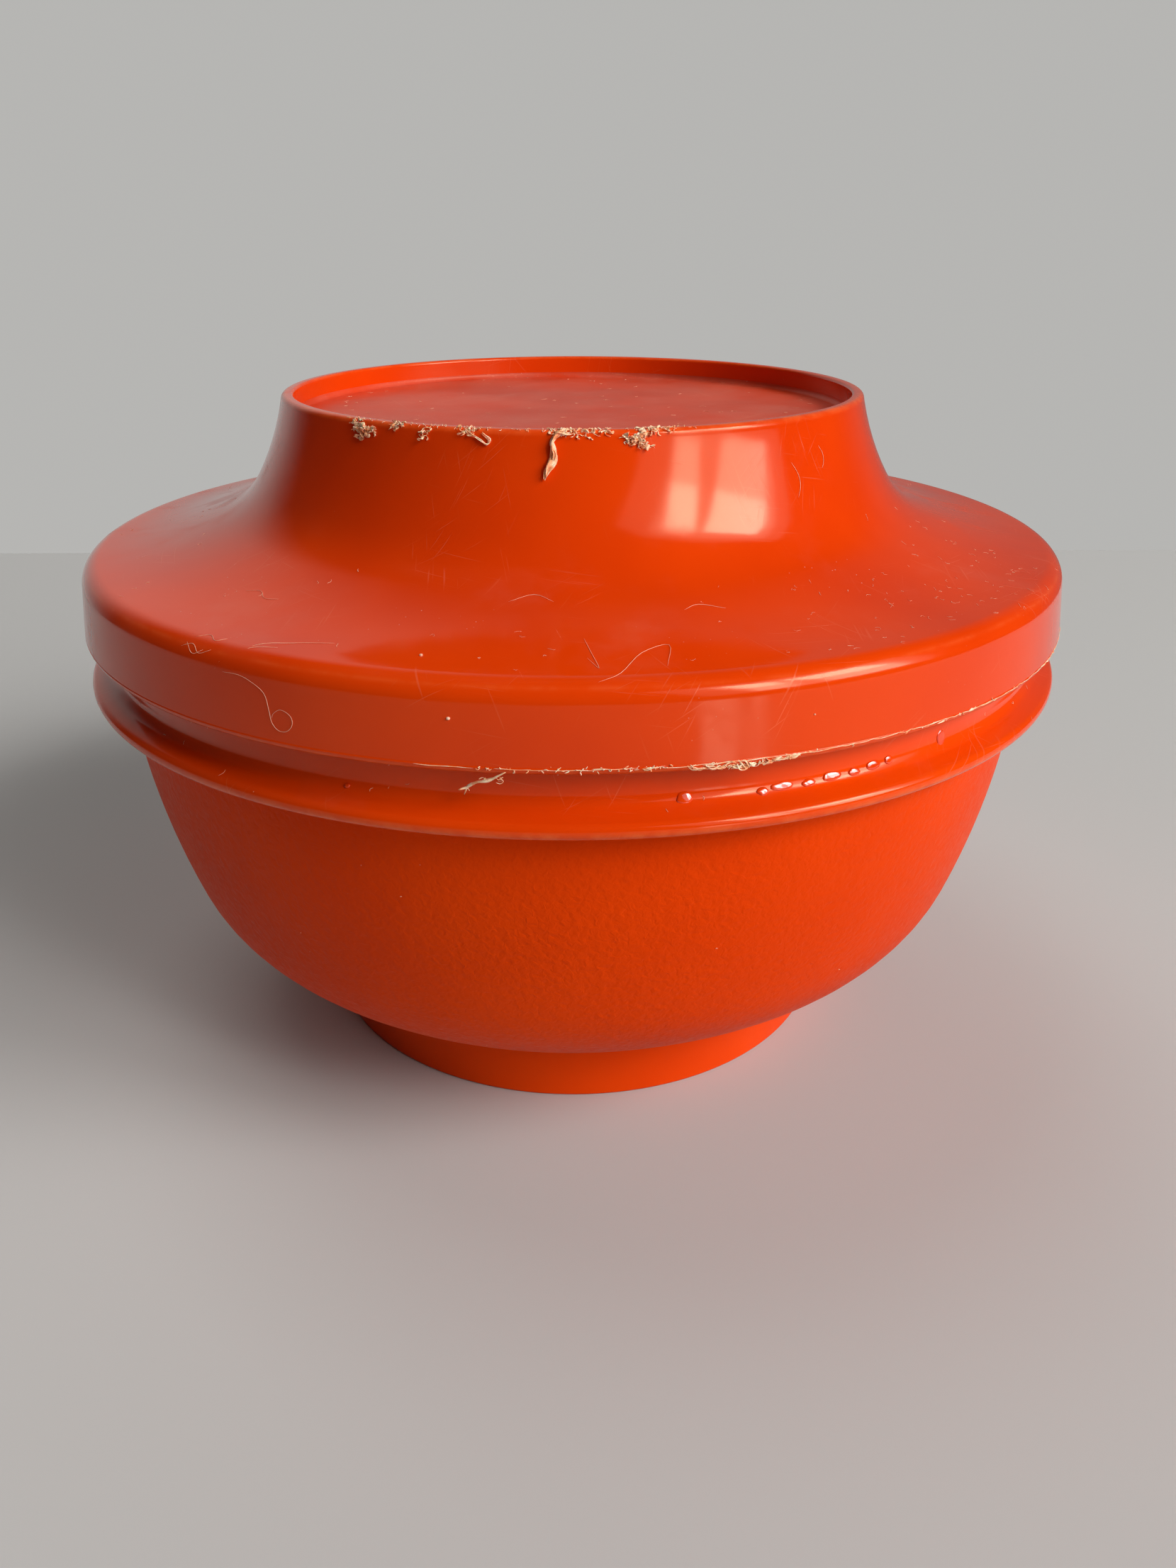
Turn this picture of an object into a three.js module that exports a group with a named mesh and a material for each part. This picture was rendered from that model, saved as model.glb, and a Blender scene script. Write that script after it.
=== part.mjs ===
// A lidded plastic rice bowl: a round bowl on a foot ring, and a press-fit lid whose
// raised ring is a foot when the lid is turned over and used as a dish.
// Millimetres, +Z up, origin at the centre of the foot ring on the plane it stands on.

import * as THREE from 'three';

// ---- driving dimensions ----------------------------------------------------

const SEGMENTS = 48;            // facets round the axis

// Both mouldings
const WALL = 2.1;               // wall thickness
const GAP = 0.4;                // clearance between lid and bowl

// Bowl: foot ring
const FOOT_RADIUS = 42.8;       // outside, at the standing face
const FOOT_TOP_RADIUS = 43.1;   // outside, just below the belly
const FOOT_INNER_RADIUS = 40.9; // inside, at the standing face
const FOOT_ROUND = 0.5;         // edge rounding of the standing face
const BELLY_START_Z = 9.2;      // where the belly leaves the foot
const FOOT_FILLET = 1.2;        // between foot and belly
const FOOT_HEADING = 88;        // nearly upright outside of the foot ring
const FOOT_INNER_DRAFT = 0.3;   // how much narrower the ring is inside at its top
const UNDERSIDE_Z = 3.4;        // flat underside inside the foot ring

// Bowl: belly, three arcs that meet smoothly; slopes in degrees from level
const BELLY_START_R = 43.64;
const BELLY_SLOPES = [33.15, 38.5, 71.53, 86.8];
const BELLY_RADII = [175.9, 23.71, 116.46];

// Bowl: flange and neck
const FLANGE_EDGE = 1.15;       // radius of the rounded outer edge
const FLANGE_RADIUS = 75.25;    // outside
const FLANGE_FILLET = 0.7;      // under the flange
const FLANGE_TOP_SLOPE = 157;   // direction of the flange's upper face, inwards and up
const NECK_COVE = 2.0;          // concave radius between flange and neck
const NECK_RADIUS = 71.8;       // outside
const NECK_HEADING = 88;         // nearly upright
const SNAP_RADIUS = 72.25;      // crest of the bead that the lid clips over
const SNAP_Z = 73.6;
const SNAP_HALF_HEIGHT = 1.9;
const RIM_Z = 77.2;             // top of the bowl
const RIM_OUTER_RADIUS = 71.5;
const RIM_INNER_RADIUS = 69.6;
const SEAT_Z = 63.0;            // bottom of the straight inside of the neck
const SEAT_DRAFT = 0.3;         // how much narrower the neck is inside at its bottom

// Lid: raised ring and the recessed disc inside it
const RING_TOP_Z = 101.0;
const RING_LAND_RADIUS = 42.4;  // inner edge of the ring's flat top
const RING_EDGE = 0.8;          // rounding of the ring's outer edge
const RING_INNER_RADIUS = 41.9;
const RING_TAPER = 0.1;         // how much the ring narrows above the sweep
const DISC_Z = 97.5;            // top of the recessed disc
const DISC_FILLET = 0.8;

// Lid: concave sweep from the ring to the shoulder, three arcs that meet smoothly
const SWEEP_START_R = 43.85;
const SWEEP_START_Z = 99.9;
const SWEEP_SLOPES = [-76.8, -59.5, -23.25, -3.2];
const SWEEP_RADII = [38.83, 12.94, 51.47];
const SWEEP_INNER_START = -70;  // where the inside of the sweep meets the disc
const SWEEP_INNER_END = -7.5;   // where it meets the lip

// Lid: skirt, the channel over the bowl's rim, and the lip that plugs the mouth
const SHOULDER_EDGE = 2.9;      // outer rounding between shoulder and skirt
const SKIRT_DRAFT = -84.7;      // slope of the skirt's outside
const SKIRT_RADIUS = 75.1;      // outside, at the lower edge
const SKIRT_BOTTOM_Z = 69.1;
const SKIRT_ROUND = 0.4;
const SKIRT_INNER_RADIUS = 73.1;
const CHANNEL_TOP_Z = RIM_Z + GAP;
const CHANNEL_OUTER_RADIUS = SNAP_RADIUS + GAP;
const LIP_RADIUS = RIM_INNER_RADIUS - GAP;
const LIP_TAPER = 0.3;
const LIP_THICKNESS = 1.7;
const LIP_BOTTOM_Z = 70.0;
const LIP_ROUND = 0.6;
const LIP_ROOT = 1.0;           // depth of the corner above the lip's inside

// ---- outline of a section, drawn by walking along it -------------------------

const radians = THREE.MathUtils.degToRad;

class Outline {
  constructor(r, z) {
    this.points = [new THREE.Vector2(r, z)];
  }

  get end() {
    return this.points.at(-1);
  }

  line(r, z) {
    this.points.push(new THREE.Vector2(r, z));
    return this;
  }

  // An arc from the end of the outline. Headings are directions of travel in
  // degrees, 0 outwards and 90 up; the arc turns left when the heading grows.
  arc(radius, from, to, steps) {
    const start = this.end;
    const side = Math.sign(to - from) * radius;
    for (let step = 1; step <= steps; step += 1) {
      const heading = from + (to - from) * step / steps;
      const r = start.x + side * (Math.sin(radians(heading)) - Math.sin(radians(from)));
      const z = start.y + side * (Math.cos(radians(from)) - Math.cos(radians(heading)));
      this.line(r, z);
    }
    return this;
  }

  // Smoothly joined arcs: slopes holds one heading more than radii has entries.
  arcs(radii, slopes, steps) {
    radii.forEach((radius, i) => this.arc(radius, slopes[i], slopes[i + 1], steps[i]));
    return this;
  }

  // Continue backwards along another outline.
  back(other) {
    this.points.push(...other.points.slice().reverse());
    return this;
  }
}

// The point beside (r, z), at a distance to the left of the heading.
function beside(r, z, heading, distance) {
  return [
    r - distance * Math.sin(radians(heading)),
    z + distance * Math.cos(radians(heading)),
  ];
}

// ---- bowl ---------------------------------------------------------------------

function bowlOutline() {
  // Inside, from the axis outwards: level floor, rising arc, then the belly's
  // own arcs one wall thickness in, and the straight seat for the lid's lip.
  const [insideR, insideZ] = beside(BELLY_START_R, BELLY_START_Z, BELLY_SLOPES[0], WALL);
  const floorZ = UNDERSIDE_Z + WALL;
  const floorArc = (insideZ - floorZ) / (1 - Math.cos(radians(BELLY_SLOPES[0])));
  const floorRadius = insideR - floorArc * Math.sin(radians(BELLY_SLOPES[0]));
  const insideRadii = BELLY_RADII.map((radius) => radius - WALL);
  const inside = new Outline(0, floorZ)
    .line(floorRadius, floorZ)
    .arc(floorArc, 0, BELLY_SLOPES[0], 4)
    .arcs(insideRadii, BELLY_SLOPES, [1, 4, 2])
    .line(RIM_INNER_RADIUS - SEAT_DRAFT, SEAT_Z);

  // Underside, level and then rising to the inside of the foot ring
  const undersideArc = floorArc + WALL;
  const sine = (FOOT_INNER_RADIUS - FOOT_INNER_DRAFT - floorRadius) / undersideArc;
  const undersideSlope = THREE.MathUtils.radToDeg(Math.asin(sine));
  const filletCosines = Math.cos(radians(BELLY_SLOPES[0])) - Math.cos(radians(FOOT_HEADING));
  const footTop = FOOT_FILLET * filletCosines;
  const rimRadius = (RIM_OUTER_RADIUS - RIM_INNER_RADIUS) / 2;

  const outline = new Outline(0, UNDERSIDE_Z)
    .line(floorRadius, UNDERSIDE_Z)
    .arc(undersideArc, 0, undersideSlope, 3)
    .line(FOOT_INNER_RADIUS, FOOT_ROUND)
    .line(FOOT_INNER_RADIUS + FOOT_ROUND, 0)
    .line(FOOT_RADIUS - FOOT_ROUND, 0)
    .arc(FOOT_ROUND, 0, FOOT_HEADING, 2)
    .line(FOOT_TOP_RADIUS, BELLY_START_Z - footTop)
    .line(BELLY_START_R, BELLY_START_Z)
    .arcs(BELLY_RADII, BELLY_SLOPES, [1, 5, 3])
    .arc(FLANGE_FILLET, BELLY_SLOPES.at(-1), 0, 2);

  outline.line(FLANGE_RADIUS - FLANGE_EDGE, outline.end.y);
  outline.arc(FLANGE_EDGE, 0, FLANGE_TOP_SLOPE, 5);

  // The flange's upper face runs straight to where the cove starts.
  const coveSines = Math.sin(radians(NECK_HEADING)) - Math.sin(radians(FLANGE_TOP_SLOPE));
  const coveR = NECK_RADIUS + NECK_COVE * coveSines;
  const faceRise = (outline.end.x - coveR) * Math.tan(radians(180 - FLANGE_TOP_SLOPE));
  outline.line(coveR, outline.end.y + faceRise)
    .arc(NECK_COVE, FLANGE_TOP_SLOPE, NECK_HEADING, 3)
    .line(NECK_RADIUS, SNAP_Z - SNAP_HALF_HEIGHT)
    .line(SNAP_RADIUS, SNAP_Z)
    .line(RIM_OUTER_RADIUS, RIM_Z - rimRadius)
    .arc(rimRadius, 90, 270, 4);

  return outline.back(inside);
}

// ---- lid ------------------------------------------------------------------------

function lidOutline() {
  // Underside, from the axis outwards: under the disc, down the hollow of the
  // sweep one wall thickness in, then the lip and the channel beside it.
  const innerRadius = SWEEP_RADII[0] + WALL;
  const [centreR, centreZ] = beside(SWEEP_START_R, SWEEP_START_Z, SWEEP_SLOPES[0], SWEEP_RADII[0]);
  const [hollowR, hollowZ] = beside(centreR, centreZ, SWEEP_INNER_START, -innerRadius);
  const innerRadii = SWEEP_RADII.map((radius) => radius + WALL);
  const innerSlopes = [SWEEP_INNER_START, ...SWEEP_SLOPES.slice(1, 3), SWEEP_INNER_END];
  const lipInner = LIP_RADIUS - LIP_THICKNESS;

  const under = new Outline(0, DISC_Z - WALL)
    .line(hollowR - LIP_ROUND, DISC_Z - WALL)
    .line(hollowR, hollowZ)
    .arcs(innerRadii, innerSlopes, [1, 4, 2]);
  under.line(lipInner, under.end.y - LIP_ROOT)
    .line(lipInner, LIP_BOTTOM_Z + LIP_ROUND)
    .line(lipInner + LIP_ROUND, LIP_BOTTOM_Z)
    .line(LIP_RADIUS - LIP_TAPER - LIP_ROUND, LIP_BOTTOM_Z)
    .line(LIP_RADIUS - LIP_TAPER, LIP_BOTTOM_Z + LIP_ROUND)
    .line(LIP_RADIUS, CHANNEL_TOP_Z)
    .line(CHANNEL_OUTER_RADIUS - LIP_ROUND, CHANNEL_TOP_Z)
    .line(CHANNEL_OUTER_RADIUS, CHANNEL_TOP_Z - LIP_ROUND)
    .line(SKIRT_INNER_RADIUS, SKIRT_BOTTOM_Z + SKIRT_ROUND)
    .line(SKIRT_INNER_RADIUS + SKIRT_ROUND, SKIRT_BOTTOM_Z)
    .line(SKIRT_RADIUS - SKIRT_ROUND, SKIRT_BOTTOM_Z)
    .line(SKIRT_RADIUS, SKIRT_BOTTOM_Z + SKIRT_ROUND);

  // Top, from the axis outwards: disc, ring, sweep, shoulder and its rounded edge
  const ringEdgeR = SWEEP_START_R - RING_TAPER - RING_EDGE * Math.sin(radians(-SWEEP_SLOPES[0]));
  const top = new Outline(0, DISC_Z)
    .line(RING_INNER_RADIUS - DISC_FILLET, DISC_Z)
    .arc(DISC_FILLET, 0, 90, 2)
    .line(RING_INNER_RADIUS, RING_TOP_Z - RING_LAND_RADIUS + RING_INNER_RADIUS)
    .line(RING_LAND_RADIUS, RING_TOP_Z)
    .line(ringEdgeR, RING_TOP_Z)
    .arc(RING_EDGE, 0, SWEEP_SLOPES[0], 3)
    .line(SWEEP_START_R, SWEEP_START_Z)
    .arcs(SWEEP_RADII, SWEEP_SLOPES, [3, 5, 3])
    .arc(SHOULDER_EDGE, SWEEP_SLOPES.at(-1), SKIRT_DRAFT, 5);

  return under.back(top);
}

// ---- the two mouldings ------------------------------------------------------------

function moulding(name, outline, material) {
  const geometry = new THREE.LatheGeometry(outline.points, SEGMENTS);
  geometry.rotateX(Math.PI / 2);
  const mesh = new THREE.Mesh(geometry, material);
  mesh.name = name;
  return mesh;
}

const bowlPlastic = new THREE.MeshStandardMaterial({
  color: 0xd8480c,
  roughness: 0.55,
  metalness: 0,
});

const lidPlastic = new THREE.MeshStandardMaterial({
  color: 0xcf3d10,
  roughness: 0.28,
  metalness: 0,
});

const riceBowl = new THREE.Group();
riceBowl.add(moulding('bowl', bowlOutline(), bowlPlastic));
riceBowl.add(moulding('lid', lidOutline(), lidPlastic));

export default riceBowl;
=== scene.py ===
import math
import random

import bpy
from mathutils import Matrix, Vector, noise


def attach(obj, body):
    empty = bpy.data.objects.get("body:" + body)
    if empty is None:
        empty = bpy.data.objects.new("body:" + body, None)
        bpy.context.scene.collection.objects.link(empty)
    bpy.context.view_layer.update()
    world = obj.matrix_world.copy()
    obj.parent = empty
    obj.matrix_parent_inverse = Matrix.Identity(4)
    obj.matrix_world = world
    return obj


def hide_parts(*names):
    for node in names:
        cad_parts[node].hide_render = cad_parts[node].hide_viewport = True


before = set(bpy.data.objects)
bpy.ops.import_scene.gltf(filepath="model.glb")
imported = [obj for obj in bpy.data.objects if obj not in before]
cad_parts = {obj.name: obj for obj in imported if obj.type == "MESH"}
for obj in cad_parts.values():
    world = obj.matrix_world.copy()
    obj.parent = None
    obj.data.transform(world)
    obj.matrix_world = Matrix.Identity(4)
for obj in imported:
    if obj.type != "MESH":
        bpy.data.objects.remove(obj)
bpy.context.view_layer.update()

# Looks of a lidded plastic rice bowl. The two mouldings are turned again from their
# sections with fine facets, frayed edges are added, and every finish is procedural.
# Sections are drawn in millimetres; the meshes are in metres, in the CAD frame.

MM = 0.001
SEGMENTS = 384                  # facets round the axis
LINE_STEP = 3.0                 # longest straight step along a section
ARC_STEP = 7.0                  # most degrees turned in one step
ARC_LENGTH = 2.0                # longest step along an arc
CORNER_STEP = 0.15              # short step beside every corner, to keep flats flat

WALL = 2.1                      # thickness of both mouldings
GAP = 0.4                       # between the lid's channel and the bowl's rim

# ---- the bowl's section ----------------------------------------------------------------

FOOT_RADIUS = 42.8
FOOT_TOP_RADIUS = 43.1
FOOT_INNER_RADIUS = 40.9
FOOT_INNER_DRAFT = 0.3
FOOT_ROUND = 0.5
FOOT_FILLET = 1.2
FOOT_HEADING = 88
BELLY_START_R, BELLY_START_Z = 43.64, 9.2
BELLY_SLOPES = [33.15, 38.5, 71.53, 86.8]
BELLY_RADII = [175.9, 23.71, 116.46]
UNDERSIDE_Z = 3.4

FLANGE_EDGE = 1.15
FLANGE_RADIUS = 75.25
FLANGE_FILLET = 0.7
FLANGE_TOP_SLOPE = 157
NECK_COVE = 2.0
NECK_RADIUS = 71.8
NECK_HEADING = 88
BEAD_HEIGHT = 0.45              # how far the clip bead stands out of the neck
BEAD_BOTTOM_Z, BEAD_TOP_Z = 71.7, 75.5
BEAD_STEPS = 12
RIM_Z = 77.2
RIM_OUTER_RADIUS = 71.5
RIM_INNER_RADIUS = 69.6
SEAT_DRAFT = 0.3
SEAT_Z = 63.0

# ---- the lid's section -----------------------------------------------------------------

RING_TOP_Z = 101.0
BURR_HEIGHT = 0.15              # most that the frayed plastic stands up from the ring
RING_RADIUS = 43                # of the middle of the frayed crest
RING_LAND_RADIUS = 42.4
RING_EDGE = 0.8
RING_TAPER = 0.1
RING_INNER_RADIUS = 41.9
DISC_Z = 97.5
DISC_FILLET = 0.8
SWEEP_START_R, SWEEP_START_Z = 43.85, 99.9
SWEEP_SLOPES = [-76.8, -59.5, -23.25, -3.2]
SWEEP_RADII = [38.83, 12.94, 51.47]
SWEEP_INNER_START, SWEEP_INNER_END = -70, -7.5
SHOULDER_EDGE = 2.9
SKIRT_DRAFT = -84.7
SKIRT_RADIUS = 75.1
SKIRT_BOTTOM_Z = 69.1
SKIRT_ROUND = 0.8
SKIRT_INNER_RADIUS = 73.1
SKIRT_INNER_ROUND = 0.4
CHANNEL_TOP_Z = RIM_Z + GAP
CHANNEL_OUTER_RADIUS = 72.65
CHANNEL_ROUND = 0.6
LIP_RADIUS = RIM_INNER_RADIUS - GAP
LIP_TAPER = 0.3
LIP_THICKNESS = 1.7
LIP_BOTTOM_Z = 70.0


def sine(degrees):
    return math.sin(math.radians(degrees))


def cosine(degrees):
    return math.cos(math.radians(degrees))


class Outline:
    """A section walked from the axis, in millimetres, with a finish for each step."""

    def __init__(self, r, z, finish):
        self.points = [(r, z)]
        self.finishes = []      # one per step between points
        self.finish = finish

    @property
    def end(self):
        return self.points[-1]

    def put(self, r, z):
        self.points.append((r, z))
        self.finishes.append(self.finish)

    def line(self, r, z):
        start_r, start_z = self.end
        length = math.hypot(r - start_r, z - start_z)
        corner = min(CORNER_STEP / max(length, CORNER_STEP), 0.25)
        inner = max(1, round(length / LINE_STEP))
        stops = [corner + (1 - 2 * corner) * i / inner for i in range(inner + 1)] + [1]
        for stop in stops:
            self.put(start_r + (r - start_r) * stop, start_z + (z - start_z) * stop)
        return self

    def arc(self, radius, heading, to):
        """Headings are directions of travel, 0 outwards and 90 up."""
        start_r, start_z = self.end
        sweep = to - heading
        length = math.radians(abs(sweep)) * radius
        steps = max(2, math.ceil(abs(sweep) / ARC_STEP), math.ceil(length / ARC_LENGTH))
        side = math.copysign(radius, sweep)
        for i in range(1, steps + 1):
            now = heading + sweep * i / steps
            self.put(
                start_r + side * (sine(now) - sine(heading)),
                start_z + side * (cosine(heading) - cosine(now)),
            )
        return self

    def arcs(self, radii, slopes):
        """Arcs in a row; there is one more slope than there are radii."""
        for radius, heading, to in zip(radii, slopes, slopes[1:]):
            self.arc(radius, heading, to)
        return self

    def with_finish(self, finish):
        self.finish = finish
        return self

    def back(self, other):
        """Carries on backwards along another outline that starts on the axis."""
        self.finish = other.finishes[-1]
        self.put(*other.points[-1])
        for point, finish in zip(other.points[-2::-1], other.finishes[::-1]):
            self.finish = finish
            self.put(*point)
        return self


def beside(r, z, heading, distance):
    """The point at a distance to the left of a heading."""
    return r - distance * sine(heading), z + distance * cosine(heading)


def bowl_outline():
    inside_r, inside_z = beside(BELLY_START_R, BELLY_START_Z, BELLY_SLOPES[0], WALL)
    floor_z = UNDERSIDE_Z + WALL
    floor_arc = (inside_z - floor_z) / (1 - cosine(BELLY_SLOPES[0]))
    floor_radius = inside_r - floor_arc * sine(BELLY_SLOPES[0])
    inside = Outline(0, floor_z, "inside").line(floor_radius, floor_z)
    inside.arc(floor_arc, 0, BELLY_SLOPES[0])
    inside.arcs([radius - WALL for radius in BELLY_RADII], BELLY_SLOPES)
    inside.line(RIM_INNER_RADIUS - SEAT_DRAFT, SEAT_Z)
    inside.line(RIM_INNER_RADIUS, RIM_Z - (RIM_OUTER_RADIUS - RIM_INNER_RADIUS) / 2)

    underside_arc = floor_arc + WALL
    ring_top = FOOT_INNER_RADIUS - FOOT_INNER_DRAFT
    underside_slope = math.degrees(math.asin((ring_top - floor_radius) / underside_arc))
    foot_top = BELLY_START_Z - FOOT_FILLET * (cosine(BELLY_SLOPES[0]) - cosine(FOOT_HEADING))
    outline = Outline(0, UNDERSIDE_Z, "foot").line(floor_radius, UNDERSIDE_Z)
    outline.arc(underside_arc, 0, underside_slope)
    outline.line(FOOT_INNER_RADIUS, FOOT_ROUND)
    outline.arc(FOOT_ROUND, -90, 0)
    outline.line(FOOT_RADIUS - FOOT_ROUND, 0)
    outline.arc(FOOT_ROUND, 0, FOOT_HEADING)
    outline.line(FOOT_TOP_RADIUS, foot_top)
    outline.arc(FOOT_FILLET, FOOT_HEADING, BELLY_SLOPES[0])
    outline.with_finish("belly").arcs(BELLY_RADII, BELLY_SLOPES)
    outline.with_finish("gloss").arc(FLANGE_FILLET, BELLY_SLOPES[-1], 0)
    outline.line(FLANGE_RADIUS - FLANGE_EDGE, outline.end[1])
    outline.arc(FLANGE_EDGE, 0, FLANGE_TOP_SLOPE)
    cove_r = NECK_RADIUS + NECK_COVE * (sine(NECK_HEADING) - sine(FLANGE_TOP_SLOPE))
    rise = (outline.end[0] - cove_r) * math.tan(math.radians(180 - FLANGE_TOP_SLOPE))
    outline.line(cove_r, outline.end[1] + rise)
    outline.arc(NECK_COVE, FLANGE_TOP_SLOPE, NECK_HEADING)
    outline.line(NECK_RADIUS, BEAD_BOTTOM_Z)
    for i in range(1, BEAD_STEPS + 1):
        way = i / BEAD_STEPS
        taper = (NECK_RADIUS - RIM_OUTER_RADIUS) * way
        bulge = BEAD_HEIGHT * math.sin(math.pi * way) ** 2
        outline.put(NECK_RADIUS - taper + bulge, BEAD_BOTTOM_Z + (BEAD_TOP_Z - BEAD_BOTTOM_Z) * way)
    rim_radius = (RIM_OUTER_RADIUS - RIM_INNER_RADIUS) / 2
    outline.line(RIM_OUTER_RADIUS, RIM_Z - rim_radius)
    outline.arc(rim_radius, 90, 270)
    return outline.back(inside)


def lid_outline():
    inner_radius = SWEEP_RADII[0] + WALL
    centre = beside(SWEEP_START_R, SWEEP_START_Z, SWEEP_SLOPES[0], SWEEP_RADII[0])
    hollow_r, hollow_z = beside(*centre, SWEEP_INNER_START, -inner_radius)
    fillet = (DISC_Z - WALL - hollow_z) / (1 - cosine(SWEEP_INNER_START))
    lip_inner = LIP_RADIUS - LIP_THICKNESS
    lip_tip = (LIP_THICKNESS - LIP_TAPER) / 2
    under = Outline(0, DISC_Z - WALL, "inside")
    under.line(hollow_r - fillet * sine(-SWEEP_INNER_START), DISC_Z - WALL)
    under.arc(fillet, 0, SWEEP_INNER_START)
    slopes = [SWEEP_INNER_START, *SWEEP_SLOPES[1:3], SWEEP_INNER_END]
    under.arcs([radius + WALL for radius in SWEEP_RADII], slopes)
    under.line(lip_inner, under.end[1] - 1)
    under.line(lip_inner, LIP_BOTTOM_Z + lip_tip)
    under.arc(lip_tip, -90, 90)
    under.line(LIP_RADIUS, CHANNEL_TOP_Z)
    under.line(CHANNEL_OUTER_RADIUS - CHANNEL_ROUND, CHANNEL_TOP_Z)
    under.arc(CHANNEL_ROUND, 0, -90)
    under.line(SKIRT_INNER_RADIUS, SKIRT_BOTTOM_Z + SKIRT_INNER_ROUND)
    under.with_finish("gloss").arc(SKIRT_INNER_ROUND, -90, 0)
    under.line(SKIRT_RADIUS - SKIRT_ROUND * sine(-SKIRT_DRAFT), SKIRT_BOTTOM_Z)
    under.arc(SKIRT_ROUND, 0, 180 + SKIRT_DRAFT)

    edge_r = SWEEP_START_R - RING_TAPER - RING_EDGE * sine(-SWEEP_SLOPES[0])
    top = Outline(0, DISC_Z, "disc").line(RING_INNER_RADIUS - DISC_FILLET, DISC_Z)
    top.arc(DISC_FILLET, 0, 90)
    top.with_finish("gloss")
    inner_round = RING_LAND_RADIUS - RING_INNER_RADIUS
    top.line(RING_INNER_RADIUS, RING_TOP_Z - inner_round)
    top.arc(inner_round, 90, 0)
    top.line(edge_r, RING_TOP_Z)
    top.arc(RING_EDGE, 0, SWEEP_SLOPES[0])
    top.line(SWEEP_START_R, SWEEP_START_Z)
    top.arcs(SWEEP_RADII, SWEEP_SLOPES)
    top.arc(SHOULDER_EDGE, SWEEP_SLOPES[-1], SKIRT_DRAFT)
    top.line(*under.end)
    return under.back(top)


def add_mesh(name, vertices, faces, materials, slots=None):
    """A smooth mesh, in metres, with a material slot number for each face."""
    mesh = bpy.data.meshes.new(name)
    mesh.from_pydata(vertices, [], faces)
    mesh.polygons.foreach_set("material_index", slots or [0] * len(faces))
    mesh.polygons.foreach_set("use_smooth", [True] * len(faces))
    for material in materials:
        mesh.materials.append(material)
    mesh.update()
    piece = bpy.data.objects.new(name, mesh)
    bpy.context.collection.objects.link(piece)
    return piece


def turn(name, outline, finishes):
    """A closed mesh of revolution. finishes is a dict of finish name to material."""
    order = list(finishes)
    angles = [2 * math.pi * j / SEGMENTS for j in range(SEGMENTS)]
    circle = [(math.sin(a), -math.cos(a)) for a in angles]
    points = outline.points
    vertices = [(0, 0, points[0][1] * MM), (0, 0, points[-1][1] * MM)]
    for r, z in points[1:-1]:
        vertices += [(r * MM * x, r * MM * y, z * MM) for x, y in circle]
    faces, slots = [], []

    def ring(i, j):
        return 2 + (i - 1) * SEGMENTS + j % SEGMENTS

    for i, finish in enumerate(outline.finishes):
        slot = order.index(finish)
        for j in range(SEGMENTS):
            if i == 0:
                face = (0, ring(1, j + 1), ring(1, j))
            elif i == len(outline.finishes) - 1:
                face = (1, ring(i, j), ring(i, j + 1))
            else:
                face = (ring(i, j), ring(i, j + 1), ring(i + 1, j + 1), ring(i + 1, j))
            faces.append(face)
            slots.append(slot)
    return add_mesh(name, vertices, faces, list(finishes.values()), slots)


# ---- materials -------------------------------------------------------------------------

BOWL_ORANGE = (0.760, 0.053, 0.0008, 1)
BOWL_DEEP = (0.700, 0.044, 0.0006, 1)
LID_ORANGE = (0.720, 0.046, 0.0008, 1)
LID_DEEP = (0.650, 0.037, 0.0006, 1)
DISC_DEEP = (0.540, 0.030, 0.0006, 1)
DUST = (0.62, 0.42, 0.33, 1)
PALE_WEAR = (0.86, 0.36, 0.20, 1)
# a lighter orange for rubbed edges: part real wear, part painted highlight on the rounded edges
EDGE_WEAR_AND_HIGHLIGHT = (0.88, 0.17, 0.040, 1)

UNROLL_RADIUS = 0.06            # metres; sets how long a degree round the axis counts
SCRATCH_STRETCH = 40.0          # length of a scratch against its width

# radius, height and reach of every rubbed edge, where wear and a painted highlight lighten the
# colour, in millimetres
WORN_AND_HIGHLIT_EDGES = [
    (43.2, RING_TOP_Z, 0.9),
    (RING_INNER_RADIUS, RING_TOP_Z, 0.5),
    (74.2, 79.4, 1.1),
    (SKIRT_RADIUS, SKIRT_BOTTOM_Z, 0.9),
    (FLANGE_RADIUS, 61.6, 0.9),
    (70.5, RIM_Z, 0.9),
]


class Nodes:
    """Makes and links the nodes of one tree."""

    def __init__(self, tree):
        self.tree = tree

    def node(self, kind, inputs=None, **settings):
        made = self.tree.nodes.new(kind)
        for key, value in settings.items():
            setattr(made, key, value)
        for key, value in (inputs or {}).items():
            self.feed(value, made.inputs[key])
        return made

    def feed(self, value, socket):
        if isinstance(value, bpy.types.NodeSocket):
            self.tree.links.new(value, socket)
        else:
            socket.default_value = value

    def ramp(self, value, low, high, to_low=0.0, to_high=1.0):
        inputs = {"Value": value, "From Min": low, "From Max": high}
        inputs |= {"To Min": to_low, "To Max": to_high}
        return self.node("ShaderNodeMapRange", inputs, interpolation_type="SMOOTHSTEP").outputs[0]

    def math(self, operation, a, b=0.0):
        return self.node("ShaderNodeMath", {0: a, 1: b}, operation=operation).outputs[0]

    def mix(self, factor, a, b):
        return self.node("ShaderNodeMix", {0: factor, 6: a, 7: b}, data_type="RGBA").outputs[2]


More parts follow.
